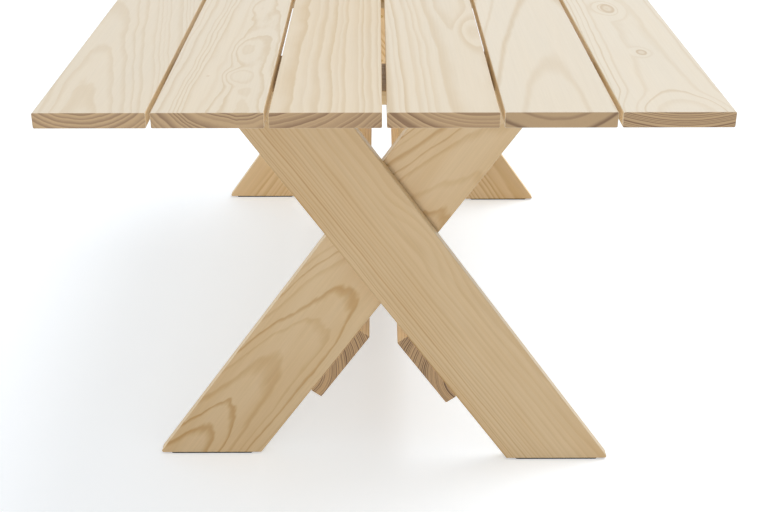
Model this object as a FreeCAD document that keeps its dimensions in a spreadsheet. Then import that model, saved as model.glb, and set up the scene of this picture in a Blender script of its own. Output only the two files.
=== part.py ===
import FreeCAD, Part
import os
import re

import Sketcher

# Sawbuck dining table: top boards on cross battens, and two crossed-leg frames tied by sloping stretchers.
# Millimetres and degrees. X runs across the table, Y along it and Z up, from the floor under its middle.

PLANK_COUNT = 6

# Driving dimensions: the value, and what it measures.
SIZES = {
    "table_length": (1800, "top, end to end along Y"),
    "table_height": (740, "floor to top face"),
    "board_width": (144, "planed width of the stock that every board is cut from"),
    "board_thickness": (21, "planed thickness of the same stock"),
    "plank_gap": (6, "open joint between top boards"),
    "arris_radius": (2, "rounding along the boards"),
    "end_chamfer": (0.4, "easing round the sawn ends"),
    "batten_setback": (152, "end of the top to the outer edge of an end batten"),
    "batten_width": (130, "end battens, ripped from the stock"),
    "frame_setback": (302, "end of the top to the outer face of a leg frame"),
    "batten_inset": (20, "side of the top to the end of a batten"),
    "rail_depth": (74, "centre rail, on edge"),
    "leg_angle": (54.4, "legs from the floor"),
    "crossing_height": (425, "floor to the centre of the crossing"),
    "leg_tip_radius": (3, "rounding of the sharp corners of a leg"),
    "stretcher_gap": (45, "between the lower inner edges of the two stretchers"),
    "glide_length": (142, "along the foot"),
    "glide_width": (17, "across the foot"),
    "glide_thickness": (2.5, "floor to the wood"),
    "glide_inset": (16, "blunt corner of the foot to the glide"),
    "glide_corner": (4, "plan rounding"),
    "bracket_width": (60, "along X"),
    "bracket_reach": (40, "length of each flange"),
    "bracket_thickness": (3, "sheet steel"),
    "bracket_bend": (3, "inner bend radius"),
    "bracket_hole_reach": (24, "bend to the screw line"),
    "bracket_hole_spacing": (36, "between the screws of a flange"),
    "screw_diameter": (4, "shank of every wood screw"),
    "screw_head": (8, "countersunk head"),
    "screw_tip": (4, "length of the point"),
    "screw_clearance": (0.15, "round every screw in its hole"),
    "board_screw": (35, "length of the screws through one board into the next"),
    "edge_screw": (60, "length of the screws through a stretcher into a leg edge"),
    "bracket_screw": (16, "length of the bracket screws"),
    "counterbore": (10, "access holes in the centre rail"),
    "screw_edge": (42, "edge of a board to its screws"),
    "crossing_screw_x": (40, "crossing centre to the side screws"),
    "crossing_screw_z": (55, "crossing centre to the upper and lower screws"),
}

# Dimensions that follow from those above.
PLANK_PITCH = "(board_width + plank_gap)"
TOP_WIDTH = f"({PLANK_COUNT} * board_width + {PLANK_COUNT - 1} * plank_gap)"
UNDERSIDE = "(table_height - board_thickness)"
BATTEN_LENGTH = f"({TOP_WIDTH} - 2 * batten_inset)"
BATTEN_Y = "(table_length / 2 - batten_setback - batten_width / 2)"
BATTEN_ROW = "(batten_width / 2 - screw_edge)"
BOARD_SCREW_STEP = "(board_width / 2 - screw_edge)"
PLANK_BITE = "(board_screw - board_thickness)"
FRAME_Y = "(table_length / 2 - frame_setback)"
HEAD_RISE = f"({UNDERSIDE} - crossing_height)"
FOOT_DROP = "(crossing_height - glide_thickness)"
# A bracket is centred under the plank above the middle of its leg's head, as far as the head is wide enough.
HEAD_X = f"(({HEAD_RISE} - bracket_reach / 2) / tan(leg_angle))"
HEAD_ROOM = "(board_width / sin(leg_angle) - bracket_reach / tan(leg_angle) - bracket_width) / 2"
PLANKS_OUT = f"floor({HEAD_X} / {PLANK_PITCH})"
PLANK_OVER = f"(({PLANKS_OUT} + 0.5) * {PLANK_PITCH})"
BRACKET_X = f"max({HEAD_X} - {HEAD_ROOM}; min({HEAD_X} + {HEAD_ROOM}; {PLANK_OVER}))"
STRETCHER_LENGTH = f"(2 * {FRAME_Y} - board_thickness)"
# Along a leg, from the crossing centre to the middle of the stretcher on its lower edge.
STRETCHER_STEP = (
    "((stretcher_gap / 2 + sin(leg_angle) * (board_width / 2 + board_thickness)) / cos(leg_angle)"
    " + board_width / 2)"
)

doc = FreeCAD.newDocument("sawbuck_table")
sheet = doc.addObject("Spreadsheet::Sheet", "Sizes")
for row, (alias, (number, note)) in enumerate(SIZES.items(), start=1):
    sheet.set(f"A{row}", alias)
    sheet.set(f"B{row}", str(number))
    sheet.set(f"C{row}", note)
    sheet.setAlias(f"B{row}", alias)
doc.recompute()

sub_parts = []


def formula(text):
    """Spell out the sheet's aliases in an expression."""
    return re.sub(r"[a-z_]+", lambda word: f"Sizes.{word[0]}" if word[0] in SIZES else word[0], text)


def value(text):
    return float(sheet.evalExpression(formula(text)))


def bind(target, **formulas):
    for name, text in formulas.items():
        target.setExpression(name, formula(text))


def new_body(label):
    body = doc.addObject("PartDesign::Body", label)
    body.Label = label
    sub_parts.append(body)
    return body


def place(body, x="0", y="0", z="0", yaw=0, pitch=0, roll=0):
    body.Placement = FreeCAD.Placement(FreeCAD.Vector(), FreeCAD.Rotation(yaw, pitch, roll))
    for axis, text in (("x", x), ("y", y), ("z", z)):
        body.setExpression(f"Placement.Base.{axis}", formula(text))


def new_sketch(body, role, lift="0"):
    """A sketch on one of the body's own origin planes, lifted along that plane's normal."""
    sketch = body.newObject("Sketcher::SketchObject", f"{body.Label}_sketch")
    plane = next(item for item in body.Origin.OriginFeatures if item.Role == role)
    sketch.AttachmentSupport = (plane, "")
    sketch.MapMode = "FlatFace"
    sketch.setExpression("AttachmentOffset.Base.z", formula(lift))
    return sketch


def pin_point(sketch, item, which, point):
    """Hold one point of a sketch at two formulas."""
    for kind, text in zip(("DistanceX", "DistanceY"), point):
        index = sketch.addConstraint(Sketcher.Constraint(kind, item, which, value(text)))
        sketch.setExpression(f"Constraints[{index}]", formula(text))


def outline(body, role, points):
    """A closed sketch through points given as pairs of formulas."""
    sketch = new_sketch(body, role)
    corners = [FreeCAD.Vector(value(first), value(second), 0) for first, second in points]
    count = len(corners)
    for item in range(count):
        sketch.addGeometry(Part.LineSegment(corners[item], corners[(item + 1) % count]))
    for item in range(count):
        sketch.addConstraint(Sketcher.Constraint("Coincident", item, 2, (item + 1) % count, 1))
    for item, point in enumerate(points):
        pin_point(sketch, item, 1, point)
    return sketch


def pad(body, sketch, length, midplane=False):
    feature = body.newObject("PartDesign::Pad", f"{body.Label}_pad")
    feature.Profile = sketch
    feature.Midplane = midplane
    bind(feature, Length=length)
    doc.recompute()
    return feature


def ease(body, kind, wanted, **formulas):
    """Fillet or chamfer the edges of the body so far that the test wants."""
    base = body.Tip
    names = [f"Edge{number}" for number, edge in enumerate(base.Shape.Edges, start=1) if wanted(edge)]
    feature = body.newObject(f"PartDesign::{kind}", f"{body.Label}_{kind.lower()}")
    feature.Base = (base, names)
    bind(feature, **formulas)
    doc.recompute()


def along_x(edge):
    return edge.BoundBox.XLength > 0.9 * edge.Length


def upright(edge):
    return edge.BoundBox.ZLength > 0.9 * edge.Length


def on_an_end(half_length):
    def test(edge):
        box = edge.BoundBox
        return box.XLength < 0.01 and abs(abs(box.XMin) - half_length) < 0.01
    return test


def drill(body, centres, diameter="screw_diameter", depth=None, head=None, role="XY_Plane", lift="0",
          reverse=True):
    """Screw holes at points of a plane: countersunk where a head is given, right through without a depth."""
    sketch = new_sketch(body, role, lift)
    for item, centre in enumerate(centres):
        middle = FreeCAD.Vector(value(centre[0]), value(centre[1]), 0)
        sketch.addGeometry(Part.Circle(middle, FreeCAD.Vector(0, 0, 1), value(diameter) / 2))
        pin_point(sketch, item, 3, centre)
        sketch.addConstraint(Sketcher.Constraint("Diameter", item, value(diameter)))
    doc.recompute()
    before = body.Shape.Volume
    hole = body.newObject("PartDesign::Hole", f"{body.Label}_hole")
    hole.Profile = sketch
    doc.recompute()
    hole.Reversed = reverse
    hole.DrillPoint = "Flat"
    hole.DepthType = "Dimension" if depth else "ThroughAll"
    bind(hole, Diameter=f"{diameter} + 2 * screw_clearance")
    if depth:
        bind(hole, Depth=f"{depth} + screw_clearance")
    if head:
        hole.HoleCutType = "Countersink"
        hole.HoleCutCustomValues = True
        hole.HoleCutCountersinkAngle = 90
        bind(hole, HoleCutDiameter=f"{head} + 2 * screw_clearance")
    doc.recompute()
    if body.Shape.Volume > before - 1:
        raise RuntimeError(f"holes in {body.Label} cut nothing")


def board(label, length, width="board_width", thickness="board_thickness"):
    """A straight board: length along its own X, width along Y and one face on its XY plane."""
    body = new_body(label)
    corners = [(f"{end} * {length} / 2", f"{side} * {width} / 2")
               for end, side in ((-1, -1), (1, -1), (1, 1), (-1, 1))]
    pad(body, outline(body, "XY_Plane", corners), thickness)
    ease(body, "Fillet", along_x, Radius="arris_radius")
    ease(body, "Chamfer", on_an_end(value(length) / 2), Size="end_chamfer")
    return body


def plank_x(index):
    return f"({index - (PLANK_COUNT + 1) / 2} * {PLANK_PITCH})"


# Battens across the top, with two screws up into each plank.
def across_planks(row_step):
    """Screw points of a batten: a pair on each plank, one either side of the plank's middle."""
    return [(f"{plank_x(index)} + {side} * {BOARD_SCREW_STEP}", f"{side} * {row_step}")
            for index in range(1, PLANK_COUNT + 1) for side in (-1, 1)]


DIAGONAL_PAIRS = across_planks(BATTEN_ROW)
IN_LINE_PAIRS = across_planks("0")
HEAD_LIFT = "(rail_depth - board_thickness)"


def end_batten(label, end):
    batten = board(label, BATTEN_LENGTH, width="batten_width")
    drill(batten, DIAGONAL_PAIRS, head="screw_head")
    place(batten, y=f"{end} * {BATTEN_Y}", z=f"{UNDERSIDE} - board_thickness")
    return batten


def centre_rail():
    rail = board("centre_rail", BATTEN_LENGTH, width="board_thickness", thickness="rail_depth")
    drill(rail, IN_LINE_PAIRS, head="screw_head", lift=HEAD_LIFT)
    drill(rail, IN_LINE_PAIRS, diameter="counterbore", depth=HEAD_LIFT)
    place(rail, z=f"{UNDERSIDE} - rail_depth")
    return rail


# Top boards, with blind pilot holes on the underside. A plank's own X is the table's Y.
def top_plank(index):
    plank = board(f"top_plank_{index}", "table_length")
    batten_points = [(f"{end} * {BATTEN_Y} + {side} * {BATTEN_ROW}", f"-{side} * {BOARD_SCREW_STEP}")
                     for end in (-1, 1) for side in (-1, 1)]
    rail_points = [("0", f"{side} * {BOARD_SCREW_STEP}") for side in (-1, 1)]
    drill(plank, batten_points + rail_points, depth=PLANK_BITE)
    return plank


def bracket_bite(plank, side):
    """Pilot holes for the two brackets under a plank left or right of the middle. The outer leg of a frame
    has its head on the left at the front and on the right at the rear."""
    rows = [(side, f"({FRAME_Y} - board_thickness - bracket_hole_reach)"),
            (-side, f"({FRAME_Y} - 2 * board_thickness - bracket_hole_reach)")]
    offset = f"{side} * ({PLANK_OVER} - {BRACKET_X})"
    points = [(f"{end} * {step}", f"{offset} + {hand} * bracket_hole_spacing / 2")
              for end, step in rows for hand in (-1, 1)]
    drill(plank, points, depth="bracket_screw - bracket_thickness")


# Legs: one board sawn level at both ends. Its own X runs up the leg from the crossing, and its face at
# board_thickness meets the other leg of the frame.
def sawn_corner(height, side):
    return (f"({height} - {side} * board_width / 2 * cos(leg_angle)) / sin(leg_angle)",
            f"{side} * board_width / 2")


def on_leg(across, up):
    """A point at a distance across and up from the crossing, in the leg's own X and Y."""
    return (f"cos(leg_angle) * ({across}) + sin(leg_angle) * ({up})",
            f"cos(leg_angle) * ({up}) - sin(leg_angle) * ({across})")


CROSSING_POINTS = [on_leg("crossing_screw_x", "0"), on_leg("-crossing_screw_x", "0"),
                   on_leg("0", "crossing_screw_z"), on_leg("0", "-crossing_screw_z")]
BRACKET_POINTS = [on_leg(f"{BRACKET_X} + {side} * bracket_hole_spacing / 2",
                         f"{HEAD_RISE} - bracket_hole_reach") for side in (-1, 1)]
STRETCHER_POINTS = [(f"{side} * {BOARD_SCREW_STEP} - {STRETCHER_STEP}", "board_thickness / 2")
                    for side in (-1, 1)]


def leg(label, outer):
    body = new_body(label)
    head_tip = sawn_corner(HEAD_RISE, -1)
    foot_tip = sawn_corner(f"-{FOOT_DROP}", 1)
    corners = [foot_tip, sawn_corner(f"-{FOOT_DROP}", -1), head_tip, sawn_corner(HEAD_RISE, 1)]
    pad(body, outline(body, "XY_Plane", corners), "board_thickness")
    tips = [FreeCAD.Vector(value(x), value(y), 0) for x, y in (head_tip, foot_tip)]

    def at_a_tip(edge):
        foot = FreeCAD.Vector(edge.CenterOfMass.x, edge.CenterOfMass.y, 0)
        return upright(edge) and min(foot.distanceToPoint(tip) for tip in tips) < 0.01

    ease(body, "Fillet", at_a_tip, Radius="leg_tip_radius")
    ease(body, "Fillet", along_x, Radius="arris_radius")
    contact = {"lift": "board_thickness", "reverse": False}
    bracket_depth = "bracket_screw - bracket_thickness"
    if outer:
        drill(body, CROSSING_POINTS, depth=PLANK_BITE, **contact)
        drill(body, BRACKET_POINTS, depth=bracket_depth, **contact)
    else:
        drill(body, CROSSING_POINTS, head="screw_head")
        drill(body, BRACKET_POINTS, depth=bracket_depth)
    drill(body, STRETCHER_POINTS, depth="edge_screw - board_thickness", role="XZ_Plane",
          lift="board_width / 2", reverse=False)
    return body


def place_leg(body, end, outer):
    """End -1 is the front frame and 1 the rear one, which is the front one turned half round."""
    setback = "0" if outer else "2 * board_thickness"
    turned = (end < 0) == outer
    place(body, y=f"{end} * ({FRAME_Y} - {setback})", z="crossing_height", yaw=180 if turned else 0,
          pitch=-value("leg_angle"), roll=90)


# Stretchers: boards on the slope of the legs, screwed up into their lower edges.
STRETCHER_ENDS = [(f"{end} * ({STRETCHER_LENGTH} - board_thickness) / 2", f"{side} * {BOARD_SCREW_STEP}")
                  for end in (-1, 1) for side in (-1, 1)]


def stretcher(label, side):
    body = board(label, STRETCHER_LENGTH)
    drill(body, STRETCHER_ENDS, head="screw_head")
    height = ("crossing_height - tan(leg_angle) * stretcher_gap / 2"
              " - (board_width / 2 + board_thickness) / cos(leg_angle) - board_width / 2 * sin(leg_angle)")
    place(body, x=f"{side} * (stretcher_gap / 2 + board_width / 2 * cos(leg_angle))",
          y=f"-{side} * board_thickness / 2", z=height, yaw=-90 * side, roll=-value("leg_angle"))
    return body


# Glides: dark strips under the feet.
def glide(label, side, end, outer):
    body = new_body(label)
    corners = [(f"{x} * glide_length / 2", f"{y} * glide_width / 2")
               for x, y in ((-1, -1), (1, -1), (1, 1), (-1, 1))]
    pad(body, outline(body, "XY_Plane", corners), "glide_thickness")
    ease(body, "Fillet", upright, Radius="glide_corner")
    blunt_corner = f"({FOOT_DROP} / tan(leg_angle) - board_width / (2 * sin(leg_angle)))"
    half_boards = 0.5 if outer else 1.5
    place(body, x=f"{side} * ({blunt_corner} + glide_inset + glide_length / 2)",
          y=f"{end} * ({FRAME_Y} - {half_boards} * board_thickness)")


# Brackets: bent steel angles from the inner face of each leg head to the plank above it.
FLANGE_POINTS = [f"{side} * bracket_hole_spacing / 2" for side in (-1, 1)]


def bend_line(depth):
    """A test for the edge of the bend that lies at a depth below both outer faces."""
    def test(edge):
        middle = edge.CenterOfMass
        return along_x(edge) and abs(middle.y - depth) < 0.01 and abs(middle.z + depth) < 0.01
    return test


def bracket(label, side, end, outer):
    body = new_body(label)
    profile = [("0", "0"), ("0", "-bracket_reach"), ("bracket_thickness", "-bracket_reach"),
               ("bracket_thickness", "-bracket_thickness"), ("bracket_reach", "-bracket_thickness"),
               ("bracket_reach", "0")]
    pad(body, outline(body, "YZ_Plane", profile), "bracket_width", midplane=True)
    ease(body, "Fillet", bend_line(0), Radius="bracket_bend + bracket_thickness")
    ease(body, "Fillet", bend_line(value("bracket_thickness")), Radius="bracket_bend")
    drill(body, [(x, "bracket_hole_reach") for x in FLANGE_POINTS], head="screw_head",
          lift="-bracket_thickness")
    drill(body, [(x, "-bracket_hole_reach") for x in FLANGE_POINTS], head="screw_head", role="XZ_Plane",
          lift="-bracket_thickness")
    boards = 1 if outer else 2
    place(body, x=f"{side} * {BRACKET_X}", y=f"{end} * ({FRAME_Y} - {boards} * board_thickness)",
          z=UNDERSIDE, yaw=0 if end < 0 else 180)
    return body


# Screws: a countersunk head on the origin and the point up its own Z.
def screw(label, length):
    body = doc.addObject("PartDesign::Body", label)
    profile = [("0", "0"), ("screw_head / 2", "0"),
               ("screw_diameter / 2", "(screw_head - screw_diameter) / 2"),
               ("screw_diameter / 2", f"{length} - screw_tip"), ("0", length)]
    sketch = outline(body, "XZ_Plane", profile)
    turned = body.newObject("PartDesign::Revolution", f"{label}_turned")
    turned.Profile = sketch
    turned.ReferenceAxis = (sketch, ["V_Axis"])
    doc.recompute()
    return body


def in_flat(points, lift="0"):
    """Screws that point up a board's own Z."""
    return [FreeCAD.Placement(FreeCAD.Vector(value(x), value(y), value(lift)), FreeCAD.Rotation())
            for x, y in points]


def in_bracket():
    """Screws of one bracket: up into the plank, and back into the leg."""
    back = FreeCAD.Rotation(FreeCAD.Vector(1, 0, 0), 90)
    seat = value("bracket_thickness")
    reach = value("bracket_hole_reach")
    upward = in_flat([(x, "bracket_hole_reach") for x in FLANGE_POINTS], lift="-bracket_thickness")
    backward = [FreeCAD.Placement(FreeCAD.Vector(value(x), seat, -reach), back) for x in FLANGE_POINTS]
    return upward + backward


def screw_group(label, pattern, carriers, seats):
    """One node of separate screws: a copy of the pattern screw at every seat of every carrier."""
    solids = []
    for carrier in carriers:
        for seat in seats:
            solid = pattern.Shape.copy()
            solid.Placement = carrier.Placement.multiply(seat)
            solids.append(solid)
    group = doc.addObject("Part::Feature", label)
    group.Label = label
    group.Shape = Part.makeCompound(solids)
    sub_parts.append(group)


front_batten = end_batten("front_batten", -1)
rear_batten = end_batten("rear_batten", 1)
rail = centre_rail()

planks_out = int(value(PLANKS_OUT))
bracket_planks = {PLANK_COUNT // 2 - planks_out: -1, PLANK_COUNT // 2 + 1 + planks_out: 1}
for number in range(1, PLANK_COUNT + 1):
    plank = top_plank(number)
    if number in bracket_planks:
        bracket_bite(plank, bracket_planks[number])
    place(plank, x=plank_x(number), z=UNDERSIDE, yaw=90)

# The outer legs stand on the right at the front and on the left at the rear; the inner ones cross them.
inner_legs = []
brackets = []
for end_name, end in (("front", -1), ("rear", 1)):
    for depth_name, outer in (("outer", True), ("inner", False)):
        name = f"{end_name}_{depth_name}"
        foot_side = -end if outer else end
        body = leg(f"{name}_leg", outer)
        place_leg(body, end, outer)
        glide(f"{name}_glide", foot_side, end, outer)
        brackets.append(bracket(f"{name}_bracket", -foot_side, end, outer))
        if not outer:
            inner_legs.append(body)

stretchers = [stretcher("left_stretcher", -1), stretcher("right_stretcher", 1)]

board_screw = screw("board_screw", "board_screw")
edge_screw = screw("edge_screw", "edge_screw")
bracket_screw = screw("bracket_screw", "bracket_screw")
doc.recompute()
screw_group("front_batten_screws", board_screw, [front_batten], in_flat(DIAGONAL_PAIRS))
screw_group("rear_batten_screws", board_screw, [rear_batten], in_flat(DIAGONAL_PAIRS))
screw_group("centre_rail_screws", board_screw, [rail], in_flat(IN_LINE_PAIRS, HEAD_LIFT))
screw_group("crossing_screws", board_screw, inner_legs, in_flat(CROSSING_POINTS))
screw_group("stretcher_screws", edge_screw, stretchers, in_flat(STRETCHER_ENDS))
screw_group("bracket_screws", bracket_screw, brackets, in_bracket())
doc.recompute()

for item in doc.Objects:
    if "Invalid" in item.State or "Error" in item.State:
        raise RuntimeError(f"{item.Label} failed to build")
for item in sub_parts:
    if item.Shape.isNull() or not item.Shape.isValid():
        raise RuntimeError(f"{item.Label} has no sound shape")

os.makedirs("parts", exist_ok=True)
for item in sub_parts:
    item.Shape.exportStep(f"parts/{item.Label}.step")
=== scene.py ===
from dataclasses import dataclass, replace
from math import cos, pi, radians, sin

import bpy
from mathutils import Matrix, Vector


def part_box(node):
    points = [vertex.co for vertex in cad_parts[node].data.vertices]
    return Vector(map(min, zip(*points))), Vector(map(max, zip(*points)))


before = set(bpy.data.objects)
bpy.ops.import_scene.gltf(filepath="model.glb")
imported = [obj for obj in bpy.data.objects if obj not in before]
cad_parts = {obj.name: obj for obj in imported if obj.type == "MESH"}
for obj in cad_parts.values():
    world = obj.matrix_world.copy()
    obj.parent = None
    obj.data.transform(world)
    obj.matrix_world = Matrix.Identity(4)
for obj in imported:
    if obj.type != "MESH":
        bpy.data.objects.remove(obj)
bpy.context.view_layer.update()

# The camera, found from the corners of the table in the photograph.
IMAGE_WIDTH = 768
FOCAL_PIXELS = 1245.4
SENSOR_WIDTH_MM = 36.0
CAMERA_PLACE = Vector((-0.0085, -2.3985, 1.2576))
CAMERA_PITCH = radians(25.63)
CAMERA_YAW = radians(0.300)

# The studio. A lamp's light is the share that it adds to a white surface which faces it.
WORLD_STRENGTH = 0.60
LAMPS = {
    "overhead": {"from": Vector((0.50, 0.40, 1.0)), "light": 0.365, "spread": radians(40)},
    "front": {"from": Vector((-0.37, -1.0, 0.12)), "light": 0.345, "spread": radians(22)},
}
WHITE = (1.0, 1.0, 1.0, 1.0)
FLOOR_SIZE = 40.0
FLOOR_COLOUR = (0.86, 0.92, 0.99, 1.0)  # a little blue, against the warm light that comes back from the wood
FLOOR_LIFT = 0.36  # added to what the camera sees of the floor, and not to the light on the table

# The slope of the legs, up from the floor.
LEG_ANGLE = radians(54.4)

X_AXIS = Vector((1, 0, 0))
Y_AXIS = Vector((0, 1, 0))
Z_AXIS = Vector((0, 0, 1))

# Noise in the wood: how many waves a metre it has along a board, across it and through it.
DRIFT_WAVES = (1.6, 6.0, 6.0)
WAVER_WAVES = (9.0, 28.0, 28.0)
CLOUD_WAVES = (3.0, 20.0, 20.0)
FIBRE_WAVES = (10.0, 350.0, 350.0)
SEED_STEP = 3.7  # from one board's seed to the next one's
SEED_SHIFT = (1.0, 0.7, 0.3)  # how far a seed moves the noise along, across and through a board

# Growth rings. A year runs from 0 to 1. Its wood darkens up to the peak, and is pale again by the year's end.
SUMMER_PEAK = 0.85
SUMMER_STOP = 0.86
FACE_RISE = 1.3  # how long a year's wood takes to darken on a face, for each unit of Grain.summer
END_RISE = 2.2  # the same on a sawn end, where it darkens more slowly
PACE_CHANGE = 0.45  # how soon narrow years follow wide ones
PACE_RANGE = 1.2  # how many years that moves a ring by at most
YEAR_STEP = 1.7  # how far apart two years lie on the noise that draws their strength
STRENGTH_SPAN = (0.30, 0.65)  # the draws that make the weakest and the strongest years
WEAKEST_YEAR = 0.35

# Marks on a board.
FADE_SPAN = (-0.05, 0.03)  # the places across it between which its rings fade
HEART_REACH = 0.5  # the length over which the warmth of its wood changes
CLOUD_TONE = 0.12
PORE_ROUGHNESS = 0.25
FIBRE_RELIEF = 0.6  # the height of its fibres beside that of its rings
KNOT_RIM = 0.75  # the share of a knot's core that lies inside its dark rim
KNOT_HEART = 0.3  # the share of it that is palest
KNOT_PALENESS = 0.7
FACING_SPAN = (0.6, 0.9)  # the cosines between which a surface comes to face along an axis


def srgb(red, green, blue):
    """A linear colour from the three 0 to 255 values that a screen shows."""
    linear = []
    for value in (red, green, blue):
        share = value / 255
        linear.append(share / 12.92 if share <= 0.04045 else ((share + 0.055) / 1.055) ** 2.4)
    return (*linear, 1.0)


@dataclass
class Pine:
    """A sort of pine. The colours of faces, edges and sawn ends are pairs: spring wood, then summer wood."""
    face: tuple
    edge: tuple
    end: tuple
    knot: tuple
    roughness: float
    mottle: float  # how far soft clouds move the colour between the two
    streak: float  # how far the fibres lighten and darken it


@dataclass
class Knot:
    """An ellipse on a board, in which a branch bends the rings. The length and width are half of its own."""
    along: float
    across: float
    length: float
    width: float
    swell: float  # how far the rings move out from the pith, or in toward it if negative
    core: float = 0.0  # the share of the ellipse that is stained, where the branch itself was cut


@dataclass
class Grain:
    """How one board was sawn from its tree, in the board's own axes: along, across and up.

    The pith is the middle of the tree. What isn't a length is a share or a factor.
    """
    pith_across: float
    pith_up: float
    taper: float = 0.0  # how far the pith rises for each metre along
    lean: float = 0.0  # how far the pith moves across for each metre along
    ring: float = 0.0065  # the width of a year
    summer: float = 0.45  # how much of a year is summer wood
    drift: float = 0.012  # how far the pith wanders
    wave: float = 0.004  # how far single rings waver
    phase: float = 0.0  # years that are added to the count of rings
    contrast: float = 0.6  # how strongly the rings show on the faces
    fade: float = 0.0  # how much of that is lost across FADE_SPAN
    warmth: float = 0.05  # summer colour all over
    heart: float = 0.0  # what is added to that over HEART_REACH
    tone: float = 1.0  # brightness of the whole board; on the rear legs and stretchers it is raised as painted fill light, for the light that their shade lacks
    painted_edge_light: float = 1.0  # painted light on its edges: a factor that makes them brighter
    end_tone: float = 1.0  # brightness of its sawn ends
    end_contrast: float = 1.0  # how strongly the rings show on its sawn ends
    knots: tuple = ()


TOP_PINE = Pine(
    face=(srgb(238, 227, 207), srgb(207, 181, 139)),
    # The edges are warmer than the faces, as the wood of the sides is, and brighter as painted light in the
    # narrow joints between the boards, where little light reaches.
    edge=(srgb(242, 220, 182), srgb(220, 192, 148)),
    end=(srgb(190, 158, 117), srgb(136, 104, 72)),
    knot=srgb(214, 192, 160),
    roughness=0.42,
    mottle=0.26,
    streak=0.08,
)
FRAME_PINE = Pine(
    face=(srgb(212, 187, 149), srgb(176, 139, 86)),
    edge=(srgb(222, 192, 146), srgb(196, 162, 112)),
    end=(srgb(192, 156, 112), srgb(92, 64, 40)),
    knot=srgb(170, 128, 82),
    roughness=0.45,
    mottle=0.8,
    streak=0.18,
)
# The legs' pine has paler edges than the frame's: a painted sheen, for the white surroundings that their
# narrow faces reflect.
LEG_PINE_PAINTED_SHEEN = replace(FRAME_PINE, edge=(srgb(230, 210, 174), srgb(206, 176, 132)))

GRAINS = {
    "top_plank_1": Grain(
        pith_across=-0.013, pith_up=0.090, taper=0.030, lean=-0.10, summer=0.35, wave=0.006,
        contrast=0.26, warmth=0.17, tone=0.955, end_tone=0.98, end_contrast=0.75,
    ),
    "top_plank_2": Grain(
        pith_across=0.040, pith_up=0.075, taper=0.015, summer=0.35, wave=0.010, phase=0.05,
        contrast=0.38, warmth=0.17, tone=0.97, end_tone=0.92, end_contrast=0.90,
        knots=(
            Knot(along=0.154, across=0.023, length=0.05, width=0.03, swell=-0.009),
            Knot(along=0.287, across=0.020, length=0.09, width=0.035, swell=-0.0045),
            Knot(along=0.154, across=-0.017, length=0.012, width=0.008, swell=0.002, core=0.3),
            Knot(along=0.542, across=0.027, length=0.08, width=0.035, swell=-0.005),
        ),
    ),
    "top_plank_3": Grain(
        pith_across=-0.090, pith_up=0.160, taper=0.004, summer=0.6, wave=0.006,
        contrast=0.42, warmth=0.35, heart=0.11, tone=1.03, end_tone=0.93,
    ),
    "top_plank_4": Grain(
        pith_across=0.050, pith_up=0.120, taper=-0.006, lean=-0.03, summer=0.5,
        contrast=0.52, warmth=0.22, end_tone=0.935, end_contrast=1.15,
        knots=(Knot(along=0.38, across=0.059, length=0.14, width=0.03, swell=0.012),),
    ),
    "top_plank_5": Grain(
        pith_across=-0.010, pith_up=0.100, taper=0.042, lean=0.08, ring=0.0195, summer=0.12, drift=0.010,
        phase=-1.385, contrast=0.62, warmth=0.07, tone=0.975, end_tone=0.825, end_contrast=1.35,
    ),
    "top_plank_6": Grain(
        pith_across=0.010, pith_up=0.300, taper=0.004, ring=0.0028, summer=0.20, drift=0.004, wave=0.0015,
        phase=0.29, contrast=0.52, warmth=0.02, tone=0.98, end_tone=0.885, end_contrast=2.2,
        knots=(
            Knot(along=0.0, across=0.005, length=0.10, width=0.20, swell=-0.0055),
            Knot(along=0.517, across=-0.007, length=0.09, width=0.035, swell=0.008, core=0.36),
            Knot(along=0.265, across=0.001, length=0.04, width=0.022, swell=0.003, core=0.40),
        ),
    ),
    "front_outer_leg": Grain(
        pith_across=0.085, pith_up=-0.150, taper=0.006, ring=0.0035, drift=0.006, wave=0.003,
        contrast=0.48, fade=0.55, warmth=0.29, heart=0.18, tone=0.985,
        knots=(Knot(along=0.030, across=0.050, length=0.12, width=0.035, swell=0.006),),
    ),
    # Its edges are brightened as painted light, where light from the left falls on them.
    "front_inner_leg": Grain(
        pith_across=0.025, pith_up=-0.140, taper=-0.080, lean=0.15, ring=0.008, summer=0.22, wave=0.009,
        contrast=0.58, warmth=0.37, heart=-0.28, tone=1.005, painted_edge_light=1.16,
    ),
    # The rear legs' tones are raised as painted fill light: their wood is made brighter than it is, for the
    # light that reaches them in their shade.
    "rear_outer_leg": Grain(
        pith_across=-0.060, pith_up=-0.090, ring=0.007, contrast=0.4, warmth=0.42, tone=1.24,
    ),
    "rear_inner_leg": Grain(
        pith_across=0.060, pith_up=-0.090, ring=0.007, contrast=0.5, warmth=0.38, tone=1.44,
    ),
    # The stretchers' tones are raised as painted fill light on their shaded faces; their end tones take most
    # of it back on the sawn ends.
    "left_stretcher": Grain(
        pith_across=0.060, pith_up=-0.070, ring=0.003, warmth=0.38, tone=1.30, end_tone=0.78,
    ),
    "right_stretcher": Grain(
        pith_across=-0.060, pith_up=-0.070, ring=0.003,
        warmth=0.33, tone=1.38, end_tone=0.68, end_contrast=1.1,
    ),
    "front_batten": Grain(pith_across=0.020, pith_up=-0.090, warmth=0.3),
    "rear_batten": Grain(pith_across=-0.030, pith_up=-0.080, warmth=0.3),
    "centre_rail": Grain(pith_across=0.010, pith_up=-0.100, warmth=0.3),
}

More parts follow.
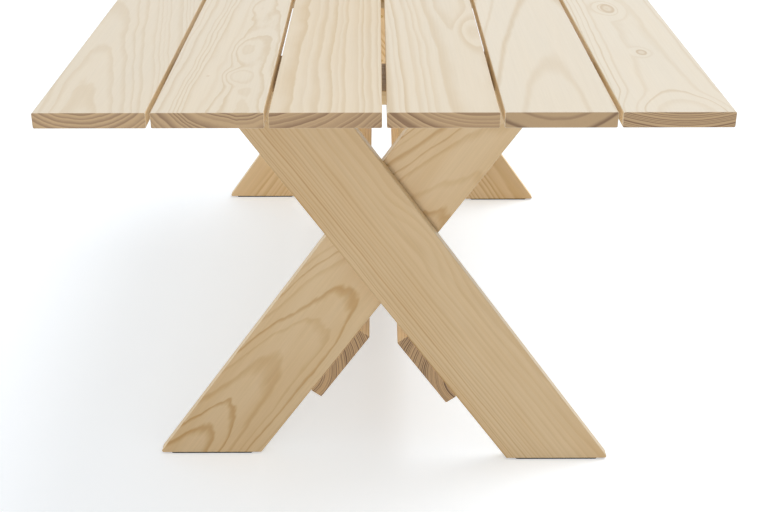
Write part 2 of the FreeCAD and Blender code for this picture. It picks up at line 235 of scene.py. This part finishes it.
# The fixings. Each has a duller and a brighter colour, and noise of so many waves a metre between them.
BRIGHT_ZINC = (srgb(196, 198, 200), srgb(222, 222, 218))
YELLOW_ZINC = (srgb(196, 160, 100), srgb(214, 182, 122))
ZINC_WAVES = (160.0, 160.0, 160.0)
ZINC_MOTTLE = (-0.2, 0.2)
ZINC_ROUGHNESS = 0.34
ZINC_WEAR = 0.3
BLACK_PLASTIC = (srgb(20, 16, 12), srgb(30, 25, 20))
PLASTIC_WAVES = (900.0, 900.0, 900.0)
PLASTIC_SPECKLE = (-0.3, 0.3)
PLASTIC_ROUGHNESS = 0.6
PLASTIC_WEAR = 0.2
PLASTIC_SHINE = 0.2


class Graph:
    """Adds nodes to a node tree and links them, so that a material reads as a chain of formulas."""

    def __init__(self, tree):
        self.tree = tree

    def node(self, kind, **settings):
        made = self.tree.nodes.new(kind)
        for name, setting in settings.items():
            setattr(made, name, setting)
        return made

    def feed(self, socket, value):
        """Links a socket to another one, or sets it to a plain value."""
        if isinstance(value, bpy.types.NodeSocket):
            self.tree.links.new(value, socket)
        else:
            socket.default_value = value

    def fed(self, made, values):
        """Feeds a node's inputs in their order, and returns it."""
        for socket, value in zip(made.inputs, values):
            self.feed(socket, value)
        return made

    def math(self, operation, *values):
        return self.fed(self.node("ShaderNodeMath", operation=operation), values).outputs["Value"]

    def vector(self, operation, *values):
        return self.fed(self.node("ShaderNodeVectorMath", operation=operation), values).outputs["Vector"]

    def dot(self, first, second):
        made = self.node("ShaderNodeVectorMath", operation="DOT_PRODUCT")
        return self.fed(made, (first, second)).outputs["Value"]

    def length(self, x, y, z):
        """The length of a vector with these three parts."""
        made = self.node("ShaderNodeVectorMath", operation="LENGTH")
        return self.fed(made, (self.combine(x, y, z),)).outputs["Value"]

    def combine(self, x, y, z):
        return self.fed(self.node("ShaderNodeCombineXYZ"), (x, y, z)).outputs["Vector"]

    def scale(self, colour, factor):
        """A colour made brighter or darker."""
        made = self.node("ShaderNodeVectorMath", operation="SCALE")
        self.feed(made.inputs[0], colour)
        self.feed(made.inputs["Scale"], factor)
        return made.outputs["Vector"]

    def between(self, value, low, high, to_low=0.0, to_high=1.0):
        """Goes smoothly from to_low to to_high while the value goes from low to high."""
        made = self.node("ShaderNodeMapRange", interpolation_type="SMOOTHSTEP")
        return self.fed(made, (value, low, high, to_low, to_high)).outputs["Result"]

    def noise(self, place, waves, detail):
        """Noise about 0, in two channels, with so many waves a metre each way."""
        made = self.node("ShaderNodeTexNoise", noise_dimensions="3D")
        self.feed(made.inputs["Vector"], self.vector("MULTIPLY", place, waves))
        made.inputs["Scale"].default_value = 1.0
        made.inputs["Detail"].default_value = detail
        centred = self.vector("SUBTRACT", made.outputs["Color"], (0.5, 0.5, 0.5))
        parts = self.fed(self.node("ShaderNodeSeparateXYZ"), (centred,))
        return parts.outputs[0], parts.outputs[1]

    def random_of(self, number):
        """Noise from 0 to 1 along one number."""
        made = self.node("ShaderNodeTexNoise", noise_dimensions="1D")
        self.feed(made.inputs["W"], number)
        made.inputs["Scale"].default_value = 1.0
        made.inputs["Detail"].default_value = 0.0
        return made.outputs["Fac"]

    def mix(self, share, first, second):
        """The first colour where the share is 0, the second where it is 1."""
        made = self.node("ShaderNodeMix", data_type="RGBA")
        self.feed(made.inputs["Factor"], share)
        colours = [socket for socket in made.inputs if socket.type == "RGBA"]
        self.feed(colours[0], first)
        self.feed(colours[1], second)
        return [socket for socket in made.outputs if socket.type == "RGBA"][0]

    def relief(self, height, strength, depth):
        """The normals of a surface with fine relief."""
        made = self.node("ShaderNodeBump")
        made.inputs["Strength"].default_value = strength
        made.inputs["Distance"].default_value = depth
        self.feed(made.inputs["Height"], height)
        return made.outputs["Normal"]


def new_material(name):
    """A material with its graph and its surface shader, which is linked to the output."""
    material = bpy.data.materials.new(name)
    material.use_nodes = True
    graph = Graph(material.node_tree)
    shader = material.node_tree.nodes["Principled BSDF"]
    return material, graph, shader


def dress(node, material):
    """Gives a node of the frame one material all over."""
    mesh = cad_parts[node].data
    mesh.materials.clear()
    mesh.materials.append(material)


def leg_direction(node):
    """The way up a leg: to the right for those that stand on the left, and the other way."""
    rises_right = node in ("front_inner_leg", "rear_outer_leg")
    return Vector((cos(LEG_ANGLE) if rises_right else -cos(LEG_ANGLE), 0, sin(LEG_ANGLE)))


def board_axes(node):
    """A board's own axes: where they start, the way along the board and the way up from its good face."""
    low, high = (Vector(corner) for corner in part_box(node))
    middle = (low + high) / 2
    if node.startswith("top_plank"):
        return Vector((middle.x, low.y, high.z)), Y_AXIS, Z_AXIS
    if node.endswith("batten"):
        return Vector((middle.x, middle.y, low.z)), X_AXIS, -Z_AXIS
    origin = Vector((middle.x, low.y, middle.z))
    if node.endswith("leg"):
        return origin, leg_direction(node), -Y_AXIS
    if node.endswith("stretcher"):
        side = 1 if node.startswith("left") else -1
        return origin, Y_AXIS, Vector((side * sin(LEG_ANGLE), 0, -cos(LEG_ANGLE)))
    return origin, X_AXIS, -Y_AXIS


def board_pine(node):
    """The sort of pine that a board is made of. The legs' sort has a painted sheen on its edges."""
    if node.startswith("top_plank"):
        return TOP_PINE
    return LEG_PINE_PAINTED_SHEEN if node.endswith("leg") else FRAME_PINE


def on_board(graph, origin, along, up):
    """A point of the board as three lengths: along it, across it and up from its good face."""
    here = graph.node("ShaderNodeTexCoord").outputs["Object"]
    offset = graph.vector("SUBTRACT", here, origin)
    return [graph.dot(offset, axis) for axis in (along, along.cross(up), up)]


def knot_reach(graph, place, knot):
    """How far a place lies from the middle of a knot: 0 there, and 1 on its outline."""
    along = graph.math("DIVIDE", graph.math("SUBTRACT", place[0], knot.along), knot.length)
    across = graph.math("DIVIDE", graph.math("SUBTRACT", place[1], knot.across), knot.width)
    return graph.length(along, across, 0.0)


def knot_stain(graph, reach, core):
    """The stain of a branch that was cut through: a dark rim round a paler heart."""
    rim = graph.between(reach, core, core * KNOT_RIM)
    heart = graph.between(reach, core * KNOT_RIM, core * KNOT_HEART, 0.0, KNOT_PALENESS)
    return graph.math("SUBTRACT", rim, heart)


def knot_marks(graph, place, knots):
    """How far a board's knots move its rings at a place, and how much they stain it there."""
    swell = 0.0
    stain = 0.0
    for knot in knots:
        reach = knot_reach(graph, place, knot)
        swell = graph.math("ADD", swell, graph.math("MULTIPLY", graph.between(reach, 1.0, 0.0), knot.swell))
        if knot.core:
            stain = graph.math("MAXIMUM", stain, knot_stain(graph, reach, knot.core))
    return swell, stain


def years_from_pith(graph, place, noise_place, grain, seed, swell):
    """How many years of growth lie between the pith and a place on a board."""
    along, across, up = place
    drift_across, drift_up = graph.noise(noise_place, DRIFT_WAVES, detail=1.0)
    waver, _ = graph.noise(noise_place, WAVER_WAVES, detail=3.0)
    side = graph.math("SUBTRACT", across, grain.pith_across)
    side = graph.math("MULTIPLY_ADD", along, -grain.lean, side)
    side = graph.math("MULTIPLY_ADD", drift_across, grain.drift, side)
    depth = graph.math("SUBTRACT", up, grain.pith_up)
    depth = graph.math("MULTIPLY_ADD", along, -grain.taper, depth)
    depth = graph.math("MULTIPLY_ADD", drift_up, grain.drift, depth)
    radius = graph.math("MULTIPLY_ADD", waver, grain.wave, graph.length(0.0, side, depth))
    radius = graph.math("ADD", radius, swell)
    years = graph.math("MULTIPLY_ADD", radius, 1 / grain.ring, grain.phase)
    pace = graph.random_of(graph.math("MULTIPLY_ADD", years, PACE_CHANGE, seed))
    return graph.math("MULTIPLY_ADD", pace, PACE_RANGE, years)


def summer_wood(graph, years, summer, seed):
    """How dark each year's summer wood is, from 0 to 1: first as a face shows it, then as a sawn end does."""
    season = graph.math("FRACT", years)
    year = graph.math("FLOOR", years)
    draw = graph.random_of(graph.math("MULTIPLY_ADD", year, YEAR_STEP, seed))
    strength = graph.between(draw, *STRENGTH_SPAN, WEAKEST_YEAR, 1.0)
    fall = graph.between(season, SUMMER_STOP, 1.0, 1.0, 0.0)
    shades = []
    for slowness in (FACE_RISE, END_RISE):
        rise = graph.between(season, SUMMER_PEAK - slowness * summer, SUMMER_PEAK)
        shades.append(graph.math("MULTIPLY", graph.math("MULTIPLY", rise, fall), strength))
    return shades


def summer_share(graph, place, rings, cloud, grain, mottle):
    """How far the colour of a face or an edge lies on the way from spring wood to summer wood."""
    along, across, _ = place
    contrast = graph.between(across, *FADE_SPAN, grain.contrast, grain.contrast * (1 - grain.fade))
    share = graph.math("MULTIPLY_ADD", rings, contrast, grain.warmth)
    share = graph.math("MULTIPLY_ADD", cloud, mottle, share)
    return graph.math("ADD", share, graph.between(along, 0.0, HEART_REACH, 0.0, grain.heart))


def facing(graph, axis):
    """1 on the surfaces that face along an axis, either way, and 0 on the others."""
    normal = graph.node("ShaderNodeTexCoord").outputs["Normal"]
    return graph.between(graph.math("ABSOLUTE", graph.dot(normal, axis)), *FACING_SPAN)


def pine_material(node, seed):
    """Solid pine for one board: rings run through it, so its faces, edges and sawn ends agree."""
    grain = GRAINS[node]
    pine = board_pine(node)
    origin, along, up = board_axes(node)
    material, graph, shader = new_material(node + "_pine")
    place = on_board(graph, origin, along, up)
    noise_place = graph.vector("ADD", graph.combine(*place), [seed * shift for shift in SEED_SHIFT])
    fibre, pore = graph.noise(noise_place, FIBRE_WAVES, detail=3.0)
    cloud, _ = graph.noise(noise_place, CLOUD_WAVES, detail=3.0)
    swell, stain = knot_marks(graph, place, grain.knots)
    years = years_from_pith(graph, place, noise_place, grain, seed, swell)
    face_rings, end_rings = summer_wood(graph, years, grain.summer, seed)

    share = summer_share(graph, place, face_rings, cloud, grain, pine.mottle)
    # The edges' colour: on the legs it holds a painted sheen, and the factor adds painted light.
    edge = graph.scale(graph.mix(share, *pine.edge), grain.painted_edge_light)
    sawn = graph.mix(graph.math("MULTIPLY", end_rings, grain.end_contrast), *pine.end)
    colour = graph.mix(facing(graph, along.cross(up)), graph.mix(share, *pine.face), edge)
    colour = graph.mix(facing(graph, along), colour, graph.scale(sawn, grain.end_tone))
    colour = graph.mix(stain, colour, pine.knot)
    # The board's tone, which on the rear legs and stretchers is painted fill light, varied by soft clouds and
    # fibres.
    tone = graph.math("MULTIPLY_ADD", cloud, CLOUD_TONE, grain.tone)
    tone = graph.math("MULTIPLY_ADD", fibre, pine.streak, tone)
    graph.feed(shader.inputs["Base Color"], graph.scale(colour, tone))
    graph.feed(shader.inputs["Roughness"], graph.math("MULTIPLY_ADD", pore, PORE_ROUGHNESS, pine.roughness))
    height = graph.math("MULTIPLY_ADD", fibre, FIBRE_RELIEF, face_rings)
    graph.feed(shader.inputs["Normal"], graph.relief(height, strength=0.25, depth=0.0004))
    return material


def zinc_material(name, colours):
    """Zinc plate, a little mottled and worn."""
    material, graph, shader = new_material(name)
    here = graph.node("ShaderNodeTexCoord").outputs["Object"]
    mottle, wear = graph.noise(here, ZINC_WAVES, detail=4.0)
    graph.feed(shader.inputs["Base Color"], graph.mix(graph.between(mottle, *ZINC_MOTTLE), *colours))
    graph.feed(shader.inputs["Roughness"], graph.math("MULTIPLY_ADD", wear, ZINC_WEAR, ZINC_ROUGHNESS))
    shader.inputs["Metallic"].default_value = 1.0
    return material


def plastic_material():
    """Black moulded plastic with a fine spark-eroded texture."""
    material, graph, shader = new_material("black_plastic")
    here = graph.node("ShaderNodeTexCoord").outputs["Object"]
    speckle, wear = graph.noise(here, PLASTIC_WAVES, detail=2.0)
    colour = graph.mix(graph.between(speckle, *PLASTIC_SPECKLE), *BLACK_PLASTIC)
    graph.feed(shader.inputs["Base Color"], colour)
    graph.feed(shader.inputs["Roughness"], graph.math("MULTIPLY_ADD", wear, PLASTIC_WEAR, PLASTIC_ROUGHNESS))
    graph.feed(shader.inputs["Normal"], graph.relief(speckle, strength=0.2, depth=0.0002))
    shader.inputs["Specular IOR Level"].default_value = PLASTIC_SHINE
    return material


def dress_boards():
    """Gives every board its own piece of pine, set out in the board's own axes."""
    for number, node in enumerate(GRAINS, start=1):
        dress(node, pine_material(node, number * SEED_STEP))


def dress_fixings():
    """Gives the glides black plastic, the screws yellow zinc and the brackets bright zinc."""
    materials = {
        "glide": plastic_material(),
        "screws": zinc_material("yellow_zinc", YELLOW_ZINC),
        "bracket": zinc_material("bright_zinc", BRIGHT_ZINC),
    }
    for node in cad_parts:
        kind = node.split("_")[-1]
        if kind in materials:
            dress(node, materials[kind])


def seen_directly(graph):
    """1 for what the camera sees itself, in a reflection or through glass, and 0 for light on its way."""
    path = graph.node("ShaderNodeLightPath")
    rays = graph.math("MAXIMUM", path.outputs["Is Camera Ray"], path.outputs["Is Glossy Ray"])
    return graph.math("MAXIMUM", rays, path.outputs["Is Transmission Ray"])


def floor_material():
    """White paper, exposed until it turns white wherever the table doesn't shade it."""
    material, graph, shader = new_material("white_floor")
    shader.inputs["Base Color"].default_value = FLOOR_COLOUR
    shader.inputs["Roughness"].default_value = 1.0
    shader.inputs["Specular IOR Level"].default_value = 0.0
    shader.inputs["Emission Color"].default_value = WHITE
    graph.feed(shader.inputs["Emission Strength"], graph.math("MULTIPLY", seen_directly(graph), FLOOR_LIFT))
    return material


def lay_floor():
    """A wide plain floor, which isn't part of the table."""
    bpy.ops.mesh.primitive_plane_add(size=FLOOR_SIZE, location=(0, 0, 0))
    floor = bpy.context.object
    floor.name = "floor"
    floor.data.materials.append(floor_material())


def light_studio():
    """An even white surround, a broad soft lamp above the far right and a low one from the camera's left."""
    world = bpy.data.worlds.new("studio")
    world.use_nodes = True
    bpy.context.scene.world = world
    graph = Graph(world.node_tree)
    background = world.node_tree.nodes["Background"]
    background.inputs["Color"].default_value = WHITE
    strength = graph.math("MULTIPLY_ADD", seen_directly(graph), 1 - WORLD_STRENGTH, WORLD_STRENGTH)
    graph.feed(background.inputs["Strength"], strength)
    for name, setting in LAMPS.items():
        lamp = bpy.data.lights.new(name, "SUN")
        lamp.energy = setting["light"] * pi
        lamp.angle = setting["spread"]
        holder = bpy.data.objects.new(name, lamp)
        holder.rotation_euler = setting["from"].to_track_quat("Z", "Y").to_euler()
        bpy.context.scene.collection.objects.link(holder)


def place_camera():
    """A camera that sees the table as the photograph does."""
    camera = bpy.data.cameras.new("camera")
    camera.sensor_width = SENSOR_WIDTH_MM
    camera.lens = FOCAL_PIXELS / IMAGE_WIDTH * SENSOR_WIDTH_MM
    holder = bpy.data.objects.new("camera", camera)
    holder.location = CAMERA_PLACE
    holder.rotation_euler = (pi / 2 - CAMERA_PITCH, 0, -CAMERA_YAW)
    bpy.context.scene.collection.objects.link(holder)
    bpy.context.scene.camera = holder


bpy.context.scene.view_settings.view_transform = "Standard"
dress_boards()
dress_fixings()
lay_floor()
light_studio()
place_camera()
